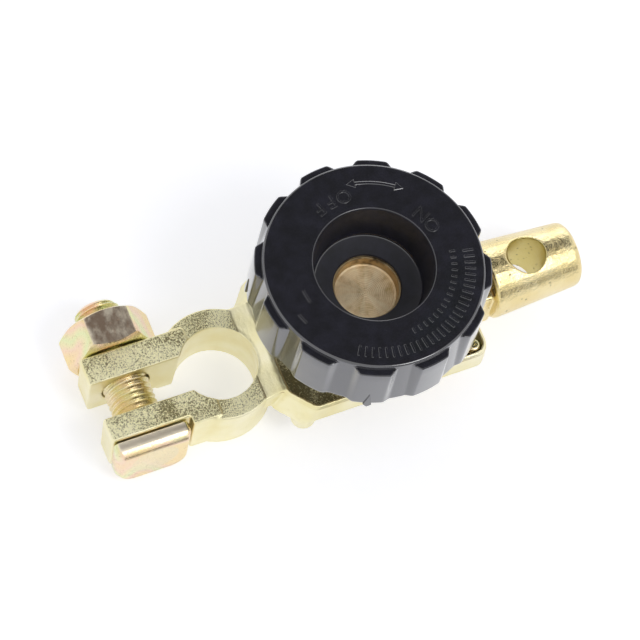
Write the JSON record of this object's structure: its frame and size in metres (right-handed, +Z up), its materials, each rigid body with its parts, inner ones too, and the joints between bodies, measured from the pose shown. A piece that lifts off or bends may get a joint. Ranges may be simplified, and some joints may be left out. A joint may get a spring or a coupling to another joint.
{
  "type": "battery disconnect switch",
  "caption": "Battery disconnect switch: split clamp for a battery post, raised screw-down knob over a shallow metal tray, and a dummy battery post for the cable clamp.",
  "frame": {"origin": "on the knob's axis at the underside of the base cap, the part's lowest face", "axes": "+Z up along the knob's axis; +X from the battery clamp towards the dummy post; +Y towards the side the clamp nut is on"},
  "size_m": [0.1087, 0.0482, 0.0406],
  "materials": {
    "gold_casting": "pale gold plating over a rough sand casting",
    "turned_brass": "turned brass with fine tool rings",
    "contact_copper": "satin copper alloy",
    "yellow_zinc": "yellow passivated zinc on steel",
    "black_gloss": "glossy black moulding",
    "black_insulation": "matt black moulding"
  },
  "bodies": {
    "switch_body": {"clamp_casting": "gold_casting", "clamp_bolt": "yellow_zinc", "post_casting": "gold_casting", "insulating_plate": "black_insulation", "centre_bush": "black_insulation", "base_cap": "black_insulation", "corner_screw_left_front": "yellow_zinc", "corner_screw_left_back": "yellow_zinc", "corner_screw_right_front": "yellow_zinc", "corner_screw_right_back": "yellow_zinc", "corner_washer_left_front": "yellow_zinc", "corner_washer_left_back": "yellow_zinc", "corner_washer_right_front": "yellow_zinc", "corner_washer_right_back": "yellow_zinc", "corner_bush_left_front": "black_insulation", "corner_bush_left_back": "black_insulation", "corner_bush_right_front": "black_insulation", "corner_bush_right_back": "black_insulation", "cap_screw_left": "yellow_zinc", "cap_screw_right": "yellow_zinc"},
    "washer": {"contact_washer": "contact_copper"},
    "knob": {"knob": "black_gloss", "contact_stud": "turned_brass"},
    "nut": {"clamp_nut": "yellow_zinc"}
  },
  "joints": [
    {"name": "knob_lift", "type": "slide", "parent": "switch_body", "child": "washer", "axis": [0, 0, 1], "range_m": [-0.00875, 0]},
    {"name": "knob_turn", "type": "hinge", "parent": "washer", "child": "knob", "pos_m": [0, 0, 0], "axis": [0, 0, 1], "range_deg": [-1800.1, 0]},
    {"name": "clamp_nut_turn", "type": "hinge", "parent": "switch_body", "child": "nut", "pos_m": [-0.0491, 0, 0.0087], "axis": [0, 1, 0], "range_deg": [0, 720]}
  ],
  "couplings": [
    {"joint": "knob_turn", "follows": "knob_lift", "rad_per_m": 3590.4}
  ]
}
